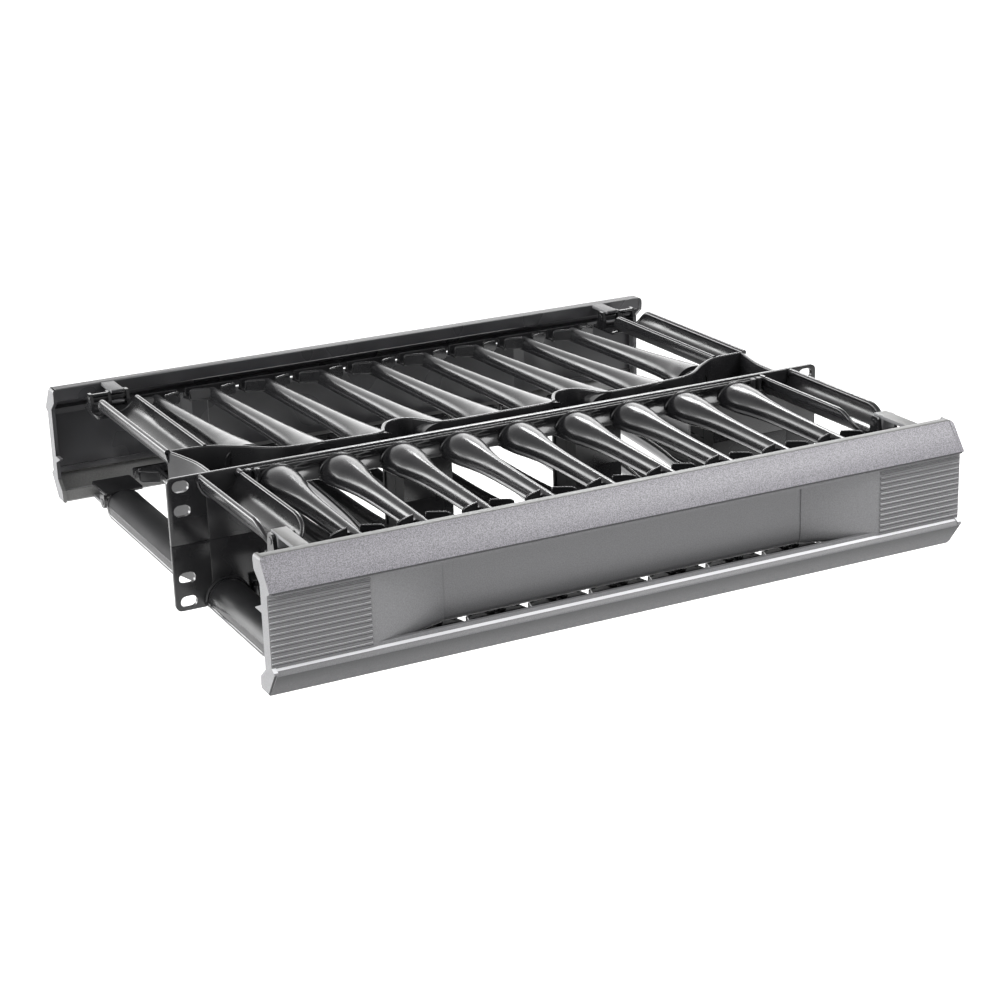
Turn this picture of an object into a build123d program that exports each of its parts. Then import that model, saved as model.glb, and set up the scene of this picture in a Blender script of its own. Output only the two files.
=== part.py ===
import os
from math import cos, sin, radians, pi
from build123d import *

os.makedirs("parts", exist_ok=True)

# ---------------------------------------------------------------- driving dimensions (mm)
# Frame: X along the rack's width, Y from front to rear, Z up.
# Origin: centre of the plane on which the two ears seat against the rack rails.

EAR_W = 482.6            # overall width over the ears (19 inch panel)
PLATE_H = 88.0           # two rack units less clearance
EAR_T = 3.0              # ear thickness
STEP_X = 216.5           # the inner plate stands 0.5 mm proud of the ears
HOLE_PITCH_X = 465.1     # slot centres, left to right
HOLE_Z1, HOLE_Z2 = 38.1, 22.225
SLOT_L, SLOT_W = 11.0, 7.6

PITCH = 42.6             # finger pitch
N_FINGERS = 9
TOP = 42.5               # crown of the rails and covers
RAIL = 12.5              # half distance between the two rails of an end post
POST_X = 207.1           # centre of the end posts
COLLAR = 9.5             # depth of the front moulding behind the seating plane
TUNNEL_END = 27.0        # rear end of the pass-through tunnels

OPEN_C = 46.3            # half width of the centre pass-through
OPEN_A, OPEN_B = 81.6, 156.0   # side pass-throughs
OPEN_H = 29.0            # half height of the pass-throughs
DIV_X = 1.5 * PITCH      # divider columns

COVER_L = 482.6
COVER_FRONT = 170.0      # lip plane of the front cover, ahead of the origin
COVER_REAR = 260.0       # lip plane of the rear cover, behind the origin
COVER_H = 42.5           # half height
COVER_T = 2.6
RIB_X = 177.7            # inner end of the ribbed zones
PANEL_X = 126.4          # half width of the sunk panel
PANEL_U = 17.0           # depth of the sunk panel behind the lip plane
HOOK_U = 22.3            # depth of the cover's flanges

LONG_TAB, SHORT_TAB = 31.0, 24.0
LONG_TAB_X, SHORT_TAB_X = 213.0, 201.0
TAB_W = 9.6
PIN_R, PIN_Z, PIN_IN = 2.5, 37.0, 4.6

FRONT_LONG_PIN = -(COVER_FRONT - HOOK_U) + LONG_TAB - PIN_IN
FRONT_SHORT_PIN = -(COVER_FRONT - HOOK_U) + SHORT_TAB - PIN_IN
REAR_SHORT_PIN = (COVER_REAR - HOOK_U) - SHORT_TAB + PIN_IN
REAR_LONG_PIN = (COVER_REAR - HOOK_U) - LONG_TAB + PIN_IN

finger_x = [PITCH * k for k in range(-(N_FINGERS // 2), N_FINGERS // 2 + 1)]

# station along the finger, half width, centre height, crown rise
FRONT_FINGER = [(0.0, 12.0, 30.0, 12.2), (6.0, 15.0, 30.0, 12.6), (13.0, 16.0, 30.0, 12.7),
                (24.0, 14.4, 29.9, 12.3), (38.0, 10.2, 29.8, 11.2), (54.0, 7.4, 29.6, 10.2),
                (75.0, 5.9, 29.3, 9.4), (105.0, 5.2, 28.9, 8.8), (138.0, 4.8, 28.4, 8.4)]
REAR_FINGER = [(0.0, 14.5, 29.5, 12.3), (10.0, 13.2, 29.4, 12.0), (24.0, 11.0, 29.0, 11.4),
               (44.0, 9.0, 28.3, 10.6), (75.0, 7.4, 27.2, 9.6), (115.0, 6.3, 25.8, 8.6),
               (160.0, 5.6, 24.2, 7.8), (204.0, 5.0, 22.8, 7.4)]

# plan of the rear wall's centre line from the middle outwards
WALL = [(0.0, 20.5), (34.0, 20.8), (44.0, 23.5), (48.5, 31.0), (54.5, 39.5), (63.9, 43.0),
        (73.3, 39.5), (79.3, 31.0), (83.8, 23.5), (96.0, 21.5), (134.0, 24.0), (156.0, 28.0),
        (176.0, 44.5), (194.0, 55.5), (218.6, 58.0)]
WALL_T = 2.6
END_WALL = [(218.6, 58.0), (214.4, 42.0), (211.2, 26.0), (210.6, 12.0), (210.6, 0.0)]


# ---------------------------------------------------------------- fingers (tool shapes)
def smooth_table(table, steps):
    """The table's rows with more between them, on a curve that never overshoots."""
    d = [row[0] for row in table]
    columns = list(zip(*table))[1:]
    slopes = []
    for col in columns:
        g = [(col[i + 1] - col[i]) / (d[i + 1] - d[i]) for i in range(len(d) - 1)]
        m = [g[0]]
        for i in range(1, len(g)):
            m.append(0.0 if g[i - 1] * g[i] <= 0 else 2 * g[i - 1] * g[i] / (g[i - 1] + g[i]))
        slopes.append(m + [g[-1]])
    out = []
    for i in range(len(d) - 1):
        h = d[i + 1] - d[i]
        for j in range(steps):
            t = j / steps
            row = [d[i] + h * t]
            for col, m in zip(columns, slopes):
                row.append((2 * t ** 3 - 3 * t ** 2 + 1) * col[i] + (t ** 3 - 2 * t ** 2 + t) * h * m[i]
                           + (3 * t ** 2 - 2 * t ** 3) * col[i + 1] + (t ** 3 - t ** 2) * h * m[i + 1])
            out.append(tuple(row))
    return out + [tuple(table[-1])]


def finger_shell(stations, plane, groove):
    """Domed finger, flat underneath with a long tapered groove."""
    with BuildPart() as dome:
        for d, hw, zc, rise in smooth_table(stations, 2):
            with BuildSketch(plane.offset(d)):
                with BuildLine():
                    EllipticalCenterArc((0, zc), hw, rise, start_angle=0, arc_size=180)
                    Line((-hw, zc), (hw, zc))
                make_face()
        loft(ruled=True)
    with BuildPart() as channel:
        for d, hw, z in groove:
            with BuildSketch(plane.offset(d)):
                with Locations((0, (z + 10) / 2)):
                    Rectangle(2 * hw, z - 10)
        loft(ruled=True)
    with BuildPart() as shell:
        add(dome.part)
        add(channel.part, mode=Mode.SUBTRACT)
    return shell.part


REAR_ROOT = 20.5
front_finger = finger_shell(FRONT_FINGER, Plane.XZ.offset(EAR_T),
                            [(9, 9.5, 36.0), (58, 4.2, 35.0), (133, 2.6, 32.4)])
rear_finger = finger_shell(REAR_FINGER, Plane.XZ.rotated((0, 0, 180)).offset(REAR_ROOT),
                           [(6, 8.5, 36.0), (70, 4.6, 32.6), (198, 2.8, 26.4)])


def post_trough(y0, y1, drop0, drop1, low=29.0):
    """Half pipe open at the top; its rails drop in an arc from drop0 to drop1."""
    s = 1 if y1 > y0 else -1
    with BuildPart() as trough:
        with BuildSketch(Plane.XZ.offset(-y0)):
            with Locations((0, 41.0)):
                Circle(RAIL + 1.6)
                Circle(RAIL - 1.5, mode=Mode.SUBTRACT)
                with Locations((0, 15)):
                    Rectangle(40, 30, mode=Mode.SUBTRACT)
            for sx in (-1, 1):
                with Locations((sx * (RAIL + 0.05), 41.0)):
                    Circle(1.55)
        extrude(amount=-s * abs(y1 - y0))
        # the rails sink towards the cover
        with BuildSketch(Plane.YZ.offset(-30)):
            with BuildLine():
                Spline((drop0, 43.2), (drop0 + s * 8, 41.2), (drop1 - s * 6, 32.0), (drop1, low),
                       tangents=((s * 1, -0.05), (s * 1, -0.35)))
                Line((drop1, low), (y1 + s * 5, low))
                Line((y1 + s * 5, low), (y1 + s * 5, 50))
                Line((y1 + s * 5, 50), (drop0, 50))
                Line((drop0, 50), (drop0, 43.2))
            make_face()
        extrude(amount=60, mode=Mode.SUBTRACT)
        # flat seat for the hinge clip at the end
        with BuildSketch(Plane.XY.offset(low - 2.1)):
            with Locations((0, (drop1 - 2 * s + y1) / 2)):
                Rectangle(SEAT_W, abs(y1 - drop1) + 2)
        extrude(amount=2.1)
    return trough.part


SEAT_W = 28.6
FRONT_POST_END = -141.0
REAR_POST_END = 231.0
front_post = post_trough(-EAR_T, FRONT_POST_END, -97.0, -115.5)
rear_post = post_trough(56.0, REAR_POST_END, 190.0, 203.0)


def tip_pad(y0, y1, z, tilt):
    """T-shaped head of a finger: a plate with a raised rim at its inner edge."""
    yc, depth = (y0 + y1) / 2, abs(y1 - y0)
    with BuildPart() as pad:
        with BuildSketch(Plane.XY.offset(z - 3.0)):
            with Locations((0, yc)):
                RectangleRounded(PITCH - 5.4, depth, 2.5)
        extrude(amount=3.0)
        with BuildSketch(Plane.XY.offset(z - 6.0)):
            with Locations((0, yc)):
                RectangleRounded(PITCH - 5.4, depth, 2.5)
                RectangleRounded(PITCH - 5.4 - 4.0, depth - 4.0, 1.2, mode=Mode.SUBTRACT)
        extrude(amount=3.2)
    return pad.part


front_pad = tip_pad(-124.0, -143.5, 36.6, 0)
rear_pad = tip_pad(214.0, 233.5, 30.2, 0)

# ---------------------------------------------------------------- front upper frame
with BuildPart() as front_upper_frame:
    # ears and plate, upper half
    with BuildSketch(Plane.XZ):
        with BuildLine():
            Polyline((-EAR_W / 2, 0), (EAR_W / 2, 0), (EAR_W / 2, PLATE_H / 2 - 4))
            RadiusArc((EAR_W / 2, PLATE_H / 2 - 4), (EAR_W / 2 - 4, PLATE_H / 2), -4)
            Line((EAR_W / 2 - 4, PLATE_H / 2), (-EAR_W / 2 + 4, PLATE_H / 2))
            RadiusArc((-EAR_W / 2 + 4, PLATE_H / 2), (-EAR_W / 2, PLATE_H / 2 - 4), -4)
            Line((-EAR_W / 2, PLATE_H / 2 - 4), (-EAR_W / 2, 0))
        make_face()
    extrude(amount=EAR_T)
    # inner plate, slightly proud
    with BuildSketch(Plane.XZ.offset(EAR_T)):
        with Locations((0, PLATE_H / 4)):
            Rectangle(2 * STEP_X, PLATE_H / 2)
    extrude(amount=0.5)
    # rolled top rim between the end posts
    with BuildSketch(Plane.YZ.offset(-192)):
        with BuildLine():
            Polyline((-2.0, 44.0), (-5.0, 44.0), (-6.4, 42.6), (-6.4, 40.6), (-5.0, 39.2),
                     (-4.6, 36.0), (-7.5, 32.2), (-8.6, 30.6), (-7.6, 29.0), (-2.0, 29.0), (-2.0, 44.0))
        make_face()
    extrude(amount=384)
    # collar behind the plate around the pass-throughs
    with BuildSketch(Plane.XZ):
        with Locations((0, (OPEN_H + 3) / 2)):
            Rectangle(2 * (OPEN_B + 3), OPEN_H + 3)
    extrude(amount=-COLLAR)
    for sx in (-1, 1):
        with BuildSketch(Plane.XZ):
            with Locations((sx * DIV_X, 18)):
                Rectangle(OPEN_A - OPEN_C - 6, 44)
        extrude(amount=-COLLAR, mode=Mode.SUBTRACT)
    # pass-throughs
    with BuildSketch(Plane.XZ.offset(12)):
        with Locations((0, 0)):
            RectangleRounded(2 * OPEN_C, 2 * OPEN_H, 5)
        for sx in (-1, 1):
            with Locations((sx * (OPEN_A + OPEN_B) / 2, 0)):
                RectangleRounded(OPEN_B - OPEN_A, 2 * OPEN_H, 5)
    extrude(amount=-(12 + COLLAR + 2), mode=Mode.SUBTRACT)
    # rack slots
    with BuildSketch(Plane.XZ.offset(6)):
        for sx in (-1, 1):
            for z in (HOLE_Z1, HOLE_Z2):
                with Locations((sx * HOLE_PITCH_X / 2, z)):
                    SlotOverall(SLOT_L, SLOT_W)
    extrude(amount=-12, mode=Mode.SUBTRACT)
    # fingers, their heads and the end posts
    add([Pos(x, 0, 0) * front_finger for x in finger_x]
        + [Pos(x, 0, 0) * front_pad for x in finger_x]
        + [Pos(sx * POST_X, 0, 0) * front_post for sx in (-1, 1)])
    # pairs of small locating studs beside the end fingers
    for sx in (-1, 1):
        for dx, y in ((0, -8.4), (-5.5 * sx, -9.6)):
            with BuildSketch(Plane.XY.offset(34)):
                with Locations((sx * 189.6 + dx, y)):
                    Circle(2.2)
            extrude(amount=9.4)

# ---------------------------------------------------------------- rear upper frame
def both_sides(points):
    return [(-x, y) for x, y in reversed(points)] + [(x, y) for x, y in points[1:]]


with BuildPart() as rear_upper_frame:
    # scalloped rear wall and flared end walls back to the plate
    with BuildSketch(Plane.XY):
        with BuildLine() as wall_line:
            Spline(*both_sides(WALL))
        trace(line_width=WALL_T)
    extrude(amount=TOP)
    for sx in (-1, 1):
        with BuildSketch(Plane.XY):
            with BuildLine() as end_line:
                Spline(*[(sx * x, y) for x, y in END_WALL])
            trace(line_width=WALL_T)
        extrude(amount=TOP)
    # nothing of the walls stands ahead of the seating plane
    with BuildSketch(Plane.XY.offset(-5)):
        with Locations((0, -10)):
            Rectangle(500, 20)
    extrude(amount=60, mode=Mode.SUBTRACT)
    # tunnels of the pass-throughs
    with BuildSketch(Plane.XZ.offset(-COLLAR)):
        with Locations((0, (OPEN_H + 2.6) / 2)):
            Rectangle(2 * (OPEN_B + 2.6), OPEN_H + 2.6)
    extrude(amount=-(TUNNEL_END - COLLAR))
    for sx in (-1, 1):
        with BuildSketch(Plane.XZ.offset(-COLLAR + 1)):
            with Locations((sx * DIV_X, 18)):
                Rectangle(OPEN_A - OPEN_C - 5.2, 44)
        extrude(amount=-(TUNNEL_END - COLLAR + 2), mode=Mode.SUBTRACT)
    with BuildSketch(Plane.XZ):
        RectangleRounded(2 * OPEN_C, 2 * OPEN_H, 5)
        with Locations(*[(sx * (OPEN_A + OPEN_B) / 2, 0) for sx in (-1, 1)]):
            RectangleRounded(OPEN_B - OPEN_A, 2 * OPEN_H, 5)
    extrude(amount=-32, mode=Mode.SUBTRACT)
    add([Pos(x, 0, 0) * rear_finger for x in finger_x]
        + [Pos(x, 0, 0) * rear_pad for x in finger_x]
        + [Pos(sx * POST_X, 0, 0) * rear_post for sx in (-1, 1)])

front_upper_frame.part.label = "front_upper_frame"
export_step(front_upper_frame.part, "parts/front_upper_frame.step")
rear_upper_frame.part.label = "rear_upper_frame"
export_step(rear_upper_frame.part, "parts/rear_upper_frame.step")

# ---------------------------------------------------------------- lower frames, the same mouldings turned over
with BuildPart() as front_lower_frame:
    mirror(front_upper_frame.part, about=Plane.XY)
front_lower_frame.part.label = "front_lower_frame"
export_step(front_lower_frame.part, "parts/front_lower_frame.step")

with BuildPart() as rear_lower_frame:
    mirror(rear_upper_frame.part, about=Plane.XY)
rear_lower_frame.part.label = "rear_lower_frame"
export_step(rear_lower_frame.part, "parts/rear_lower_frame.step")

# ---------------------------------------------------------------- covers
# The cover is drawn in its own frame: lip plane at Y = 0, depth along +Y, centre height Z = 0.
SEAT_R = PIN_R + 0.08    # open seat of the hook on the hinge pin
LIP = [(4.0, 19.5), (4.0, 20.2), (0.4, 23.4), (0.0, 24.2), (0.3, 25.0), (12.2, 42.1), (13.2, 42.5),
       (21.8, 42.5), (22.3, 42.0), (22.3, 34.0), (21.6, 33.4), (20.2, 33.4), (19.8, 34.0),
       (19.8, 39.9), (14.3, 39.9), (3.2, 24.0), (6.6, 21.0), (6.6, 19.5)]
CAP = [(4.0, 19.0), (4.0, 20.2), (0.4, 23.4), (0.0, 24.2), (0.3, 25.0), (12.2, 42.1), (13.2, 42.5),
       (21.8, 42.5), (22.3, 42.0), (23.0, 38.0), (22.3, 32.8), (18.2, 29.4), (14.2, 26.2), (14.0, 19.0)]

with BuildPart() as cover:
    # upper and lower lips with their flanges, full length
    for s in (1, -1):
        with BuildSketch(Plane.YZ.offset(-COVER_L / 2)):
            with BuildLine():
                Polyline(*[(u, s * z) for u, z in LIP], close=True)
            make_face()
        extrude(amount=COVER_L)
    # ribbed ends, sloping shoulders and sunk panel in one bent wall
    PANEL_PATH = [(-COVER_L / 2, 4.0), (-RIB_X, 4.0), (-PANEL_X, PANEL_U), (PANEL_X, PANEL_U),
                  (RIB_X, 4.0), (COVER_L / 2, 4.0)]
    INNER_PATH = [(-COVER_L / 2, 4.0 + COVER_T), (-RIB_X - 0.3, 4.0 + COVER_T),
                  (-PANEL_X - 0.3, PANEL_U + COVER_T), (PANEL_X + 0.3, PANEL_U + COVER_T),
                  (RIB_X + 0.3, 4.0 + COVER_T), (COVER_L / 2, 4.0 + COVER_T)]
    with BuildSketch(Plane.XY.offset(-22.3)):
        with BuildLine():
            Polyline(*(PANEL_PATH + INNER_PATH[::-1]), close=True)
        make_face()
    extrude(amount=44.6)
    # end caps
    for x in (-COVER_L / 2, COVER_L / 2 - COVER_T):
        with BuildSketch(Plane.YZ.offset(x)):
            with BuildLine():
                Polyline(*(CAP + [(14.0, 13.4), (23.6, 9.2), (23.6, 8.6), (14.0, 8.6)]
                           + [(u, -z) for u, z in CAP[::-1]]), close=True)
            make_face()
        extrude(amount=COVER_T)
    # twelve fine ridges at each end
    for x in (-COVER_L / 2, RIB_X):
        with BuildSketch(Plane.YZ.offset(x)):
            with Locations(*[(4.35, -19.6 + 3.56 * i) for i in range(12)]):
                Circle(1.15)
        extrude(amount=COVER_L / 2 - RIB_X)
    # tongues that carry the hinge hooks: long pair above, short pair below
    for s, tab, x0, in ((1, LONG_TAB, LONG_TAB_X), (-1, SHORT_TAB, SHORT_TAB_X)):
        for sx in (-1, 1):
            yp = HOOK_U + tab - PIN_IN
            with BuildSketch(Plane.YZ.offset(sx * x0 - TAB_W / 2)):
                with BuildLine():
                    Polyline(*[(y, s * z) for y, z in (
                        (yp, PIN_Z + SEAT_R), (HOOK_U + tab, 40.3), (HOOK_U + tab, 41.9),
                        (HOOK_U + tab - 0.6, 42.5), (13.0, 42.5), (13.0, 40.1), (yp - 6.0, 40.1),
                        (yp - 5.4, 33.6), (yp - 2.6, 31.5), (yp + 2.6, 31.5), (yp + 3.6, 32.8),
                        (yp + 3.2, 33.9), (yp, PIN_Z - SEAT_R))])
                    ThreePointArc((yp, s * (PIN_Z - SEAT_R)), (yp - SEAT_R, s * PIN_Z),
                                  (yp, s * (PIN_Z + SEAT_R)))
                make_face()
            extrude(amount=TAB_W)
    # rounded corners of the front outline
    with BuildSketch(Plane.XZ.offset(10)):
        Rectangle(COVER_L + 20, 2 * COVER_H + 20)
        RectangleRounded(COVER_L, 2 * COVER_H, 3.0, mode=Mode.SUBTRACT)
    extrude(amount=-80, mode=Mode.SUBTRACT)

with BuildPart() as front_cover:
    add(Pos(0, -COVER_FRONT, 0) * cover.part)
front_cover.part.label = "front_cover"
export_step(front_cover.part, "parts/front_cover.step")

# the rear cover is the same moulding turned over end for end, about the X axis
with BuildPart() as rear_cover:
    add(Pos(0, COVER_REAR, 0) * Rot(180, 0, 0) * cover.part)
rear_cover.part.label = "rear_cover"
export_step(rear_cover.part, "parts/rear_cover.step")

# ---------------------------------------------------------------- hinge clips and pins
CLIP_Z0 = 29.0           # underside of the clip, on the flat seat of the post
CLIP_T = 2.2
SLOT = TAB_W + 0.8       # room for the tongue between two cheeks
NARROW = SLOT + 2 * CLIP_T


def clip_shape(x0, x1, cheeks, bars):
    """Yoke that holds the hinge pin, drawn about the tongue's centre; +Y points to the cover."""
    with BuildPart() as clip:
        for x in cheeks:
            with BuildSketch(Plane.YZ.offset(x)):
                with BuildLine():
                    Polyline((-5.0, CLIP_Z0), (-5.0, 35.0), (-3.4, 40.4), (-2.2, 41.4), (2.2, 41.4),
                             (3.6, 40.2), (5.4, 33.0), (8.0, CLIP_Z0), close=True)
                make_face()
            extrude(amount=CLIP_T)
        with BuildSketch(Plane.XY.offset(CLIP_Z0)):
            with Locations(((x0 + x1) / 2, -0.5)):
                Rectangle(x1 - x0, 9.0)
        extrude(amount=1.6)
        for a, b in bars:
            with BuildSketch(Plane.YZ.offset(a)):
                with Locations((-2.4, 40.4)):
                    RectangleRounded(2.8, 2.0, 0.6)
            extrude(amount=b - a)
        with BuildSketch(Plane.YZ.offset(x0 - 1)):
            with Locations((0, PIN_Z)):
                Circle(PIN_R + 0.02)
        extrude(amount=x1 - x0 + 2, mode=Mode.SUBTRACT)
    return clip.part


def pin_shape(x0, x1):
    with BuildPart() as pin:
        with BuildSketch(Plane.YZ.offset(x0 - 0.5)):
            with Locations((0, PIN_Z)):
                Circle(PIN_R)
        extrude(amount=x1 - x0 + 1.0)
        chamfer(pin.faces().filter_by(Axis.X).edges(), 0.4)
    return pin.part


# the wide clip is centred on the post, 6.1 mm outboard of the short tongue
OUT0 = (POST_X - SHORT_TAB_X) - SEAT_W / 2
OUT1 = (POST_X - SHORT_TAB_X) + SEAT_W / 2
narrow_clip = clip_shape(-NARROW / 2, NARROW / 2, (-NARROW / 2, NARROW / 2 - CLIP_T), [])
wide_clip = clip_shape(OUT0, OUT1, (OUT0, SLOT / 2, OUT1 - CLIP_T), [(SLOT / 2 + CLIP_T - 0.2, OUT1 - 2.0)])
narrow_pin = pin_shape(-NARROW / 2, NARROW / 2)
wide_pin = pin_shape(OUT0, OUT1)

# drawn for the upper right rear corner, then mirrored to its own corner
PLACES = []
for side, sx in (("left", -1), ("right", 1)):
    PLACES += [
        ("front_upper_" + side, narrow_clip, narrow_pin, sx, LONG_TAB_X, FRONT_LONG_PIN, 1),
        ("front_lower_" + side, wide_clip, wide_pin, sx, SHORT_TAB_X, FRONT_SHORT_PIN, -1),
        ("rear_upper_" + side, wide_clip, wide_pin, sx, SHORT_TAB_X, REAR_SHORT_PIN, 1),
        ("rear_lower_" + side, narrow_clip, narrow_pin, sx, LONG_TAB_X, REAR_LONG_PIN, -1),
    ]


def at_corner(shape, sx, x, y, sz):
    placed = Pos(x, abs(y), 0) * shape
    if sx < 0:
        placed = mirror(placed, about=Plane.YZ)
    if y < 0:
        placed = mirror(placed, about=Plane.XZ)
    if sz < 0:
        placed = mirror(placed, about=Plane.XY)
    return placed


for name, clip_part, pin_part, sx, x, y, sz in PLACES:
    placed_clip = at_corner(clip_part, sx, x, y, sz)
    placed_pin = at_corner(pin_part, sx, x, y, sz)
    with BuildPart() as hinge_clip:
        add(placed_clip)
    hinge_clip.part.label = name + "_hinge_clip"
    export_step(hinge_clip.part, "parts/" + name + "_hinge_clip.step")
    with BuildPart() as hinge_pin:
        add(placed_pin)
    hinge_pin.part.label = name + "_hinge_pin"
    export_step(hinge_pin.part, "parts/" + name + "_hinge_pin.step")
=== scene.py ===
import bpy, bmesh
import numpy as np
from math import radians, sin, cos, pi, sqrt
from mathutils import Matrix, Vector


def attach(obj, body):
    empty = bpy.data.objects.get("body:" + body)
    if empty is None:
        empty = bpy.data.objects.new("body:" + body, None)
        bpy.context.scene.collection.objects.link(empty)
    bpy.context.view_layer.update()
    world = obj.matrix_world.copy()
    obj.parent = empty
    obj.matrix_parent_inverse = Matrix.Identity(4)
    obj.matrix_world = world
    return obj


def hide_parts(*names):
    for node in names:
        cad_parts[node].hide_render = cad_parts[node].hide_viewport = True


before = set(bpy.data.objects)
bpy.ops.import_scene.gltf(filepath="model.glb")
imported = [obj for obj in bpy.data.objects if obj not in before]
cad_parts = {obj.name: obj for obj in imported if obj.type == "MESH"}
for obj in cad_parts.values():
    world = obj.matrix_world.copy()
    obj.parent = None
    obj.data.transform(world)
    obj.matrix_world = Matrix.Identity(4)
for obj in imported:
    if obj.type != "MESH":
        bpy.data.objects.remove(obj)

MM = 0.001
PITCH, N = 42.6, 9
FX = [PITCH * k for k in range(-(N // 2), N // 2 + 1)]
POST_X = 207.1


# ------------------------------------------------------------ mesh helpers
def pchip(table, xs):
    """Rows at xs on a curve through the table's rows that never overshoots."""
    t = np.array(table, float)
    d, c = t[:, 0], t[:, 1:]
    h = np.diff(d)
    g = np.diff(c, axis=0) / h[:, None]
    m = np.zeros_like(c)
    m[0], m[-1] = g[0], g[-1]
    for i in range(1, len(d) - 1):
        ok = g[i - 1] * g[i] > 0
        m[i][ok] = 2 * g[i - 1][ok] * g[i][ok] / (g[i - 1][ok] + g[i][ok])
    out = []
    for x in xs:
        i = min(max(int(np.searchsorted(d, x) - 1), 0), len(d) - 2)
        s = (x - d[i]) / h[i]
        row = ((2 * s ** 3 - 3 * s ** 2 + 1) * c[i] + (s ** 3 - 2 * s ** 2 + s) * h[i] * m[i]
               + (3 * s ** 2 - 2 * s ** 3) * c[i + 1] + (s ** 3 - s ** 2) * h[i] * m[i + 1])
        out.append(row)
    return np.array(out)


def catmull(points, n):
    """n points a span along a Catmull-Rom curve through the points."""
    p = [np.array(q, float) for q in points]
    p = [2 * p[0] - p[1]] + p + [2 * p[-1] - p[-2]]
    out = []
    for i in range(1, len(p) - 2):
        a, b, c, d = p[i - 1:i + 3]
        for j in range(n):
            t = j / n
            out.append(0.5 * ((2 * b) + (c - a) * t + (2 * a - 5 * b + 4 * c - d) * t ** 2
                              + (3 * b - a - 3 * c + d) * t ** 3))
    out.append(p[-2])
    return np.array(out)


class Shape:
    """Collects points and faces, in millimetres."""

    def __init__(self):
        self.v, self.f = [], []

    def rings(self, rings, closed=True, caps=(True, True)):
        n = len(self.v)
        k = len(rings[0])
        for r in rings:
            self.v += [tuple(map(float, p)) for p in r]
        last = k if closed else k - 1
        for i in range(len(rings) - 1):
            for j in range(last):
                a = n + i * k + j
                b = n + i * k + (j + 1) % k
                self.f.append((a, b, b + k, a + k))
        if closed and caps[0]:
            self.f.append(tuple(n + j for j in reversed(range(k))))
        if closed and caps[1]:
            self.f.append(tuple(n + (len(rings) - 1) * k + j for j in range(k)))

    def tube(self, path, r, sides=12, flat=1.0, caps=(True, True)):
        path = np.array(path, float)
        rad = np.full(len(path), r) if np.isscalar(r) else np.array(r, float)
        t = np.gradient(path, axis=0)
        t /= np.linalg.norm(t, axis=1)[:, None]
        up = np.array([0, 0, 1.0])
        if abs(t[0] @ up) > 0.9:
            up = np.array([0, 1.0, 0])
        rings = []
        for q, d, rr in zip(path, t, rad):
            s = np.cross(d, up)
            s /= np.linalg.norm(s)
            u = np.cross(s, d)
            up = u
            rings.append([q + rr * (cos(a) * s + flat * sin(a) * u)
                          for a in np.linspace(0, 2 * pi, sides, endpoint=False)])
        self.rings(rings, True, caps)

    def loft_box(self, outline, z0, z1, r=0.5, seg=2):
        """Closed plan outline raised from z0 to z1 with a rounded top and bottom edge."""
        o = np.array(outline, float)
        c = o.mean(0)
        d = o - c
        ln = np.linalg.norm(d, axis=1)[:, None]
        rings = []
        for a in np.linspace(0, pi / 2, seg + 1):
            rings.append((c + d * (1 - r * (1 - sin(a)) / ln), z0 + r * (1 - cos(a))))
        for a in np.linspace(pi / 2, 0, seg + 1):
            rings.append((c + d * (1 - r * (1 - sin(a)) / ln), z1 - r * (1 - cos(a))))
        self.rings([[(p[0], p[1], z) for p in pts] for pts, z in rings])

    def ball(self, c, r, n=8):
        rings = []
        for i in range(1, n):
            a = pi * i / n
            rings.append([(c[0] + r * sin(a) * cos(b), c[1] + r * sin(a) * sin(b), c[2] - r * cos(a))
                          for b in np.linspace(0, 2 * pi, 2 * n, endpoint=False)])
        self.rings(rings)

    def merge(self, other, offset=(0, 0, 0), mirror=(1, 1, 1)):
        n = len(self.v)
        flip = mirror[0] * mirror[1] * mirror[2] < 0
        self.v += [(x * mirror[0] + offset[0], y * mirror[1] + offset[1], z * mirror[2] + offset[2])
                   for x, y, z in other.v]
        self.f += [tuple(n + i for i in (reversed(f) if flip else f)) for f in other.f]

    def object(self, name, sharp=38, fix=True):
        me = bpy.data.meshes.new(name)
        me.from_pydata([(x * MM, y * MM, z * MM) for x, y, z in self.v], [], self.f)
        me.validate()
        if fix:
            bm = bmesh.new()
            bm.from_mesh(me)
            bmesh.ops.recalc_face_normals(bm, faces=bm.faces)
            bm.to_mesh(me)
            bm.free()
        me.polygons.foreach_set("use_smooth", [True] * len(me.polygons))
        me.set_sharp_from_angle(angle=radians(sharp))
        ob = bpy.data.objects.new(name, me)
        bpy.context.scene.collection.objects.link(ob)
        return ob


def rounded(w, d, r, n=5, cx=0.0, cy=0.0):
    """Plan outline of a rounded rectangle, anticlockwise."""
    pts = []
    for sx, sy, a0 in ((1, 1, 0), (-1, 1, 90), (-1, -1, 180), (1, -1, 270)):
        for i in range(n + 1):
            a = radians(a0 + 90 * i / n)
            pts.append((cx + sx * (w / 2 - r) + r * cos(a), cy + sy * (d / 2 - r) + r * sin(a)))
    return pts


def slab(name, outline, axis, lo, hi):
    """Prism on a closed outline, as a Blender object; axis says which way it is extruded."""
    s = Shape()

    def p(a, b, c):
        return {"x": (c, a, b), "y": (a, c, b), "z": (a, b, c)}[axis]
    s.rings([[p(a, b, lo) for a, b in outline], [p(a, b, hi) for a, b in outline]])
    return s.object(name)


def boolean(ob, cutters, op="DIFFERENCE"):
    for c in cutters:
        m = ob.modifiers.new("cut", "BOOLEAN")
        m.operation, m.object, m.solver = op, c, "EXACT"
    settle(ob)
    for c in cutters:
        bpy.data.objects.remove(c, do_unlink=True)


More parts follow.
